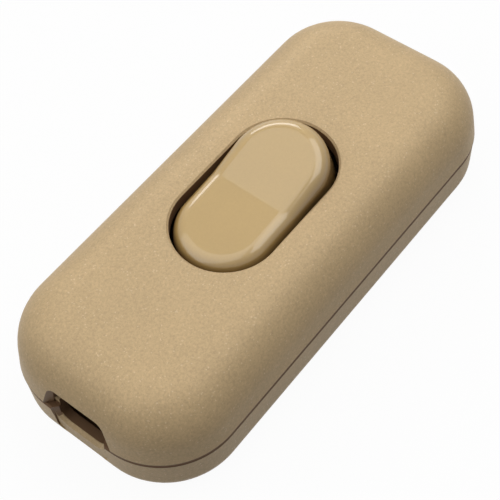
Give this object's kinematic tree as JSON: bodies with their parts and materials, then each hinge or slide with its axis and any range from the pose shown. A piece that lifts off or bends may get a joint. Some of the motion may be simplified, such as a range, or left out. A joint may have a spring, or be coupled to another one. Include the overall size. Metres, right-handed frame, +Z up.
{
  "type": "inline cord switch",
  "caption": "Inline rocker switch for a lamp cord: a rounded two-shell housing with a rocker in its top and a cord entry at each end.",
  "frame": {"origin": "on the underside, at the middle of the plan", "axes": "+X along the switch towards the far cord entry, +Y across it, +Z up out of the rocker; the pressed half of the rocker is at -X"},
  "size_m": [0.068, 0.03, 0.0179],
  "materials": {
    "shell_gold": "satin gold paint with fine metallic flake on moulded plastic",
    "base_gold": "satin gold paint with fine metallic flake on moulded plastic",
    "rocker_gold": "smooth glossy gold paint",
    "plunger_plastic": "natural moulded",
    "spring_steel": "drawn wire",
    "contact_brass": "stamped and bright",
    "contact_silver": "bright rivet",
    "screw_steel": "zinc plated",
    "clamp_plastic": "moulded"
  },
  "bodies": {
    "housing": {"top_cover": "shell_gold", "base_tray": "base_gold", "fixed_contact_tip": "contact_silver", "pivot_terminal": "contact_brass", "fixed_contact_terminal": "contact_brass", "neutral_link": "contact_brass", "case_screw_near": "screw_steel", "case_screw_far": "screw_steel", "cord_clamp_near": "clamp_plastic", "cord_clamp_far": "clamp_plastic", "clamp_screw_near_right": "screw_steel", "clamp_screw_near_left": "screw_steel", "terminal_screw_near_live": "screw_steel", "terminal_screw_near_neutral": "screw_steel", "clamp_screw_far_right": "screw_steel", "clamp_screw_far_left": "screw_steel", "terminal_screw_far_live": "screw_steel", "terminal_screw_far_neutral": "screw_steel"},
    "rocker": {"rocker": "rocker_gold", "plunger_spring": "spring_steel"},
    "plunger": {"spring_plunger": "plunger_plastic"},
    "contact_lever": {"contact_bridge": "contact_brass", "moving_contact_tip": "contact_silver"}
  },
  "joints": [
    {"name": "rocker_pivot", "type": "hinge", "parent": "housing", "child": "rocker", "pos_m": [0, 0, 0.011], "axis": [0, 1, 0], "range_deg": [0, 16.9]},
    {"name": "plunger_slide", "type": "slide", "parent": "rocker", "child": "plunger", "axis": [-0.1469, 0, 0.9891], "range_m": [0, 0.0006], "stiffness_N_per_m": 150, "springref_m": -0.002, "deforming": ["plunger_spring"]},
    {"name": "lever_pivot", "type": "hinge", "parent": "housing", "child": "contact_lever", "pos_m": [0, 0, 0.0044], "axis": [0, 1, 0], "range_deg": [-12.1, 0.1]}
  ],
  "couplings": [
    {"joint": "lever_pivot", "follows": "rocker_pivot", "ratio": -0.71006}
  ]
}
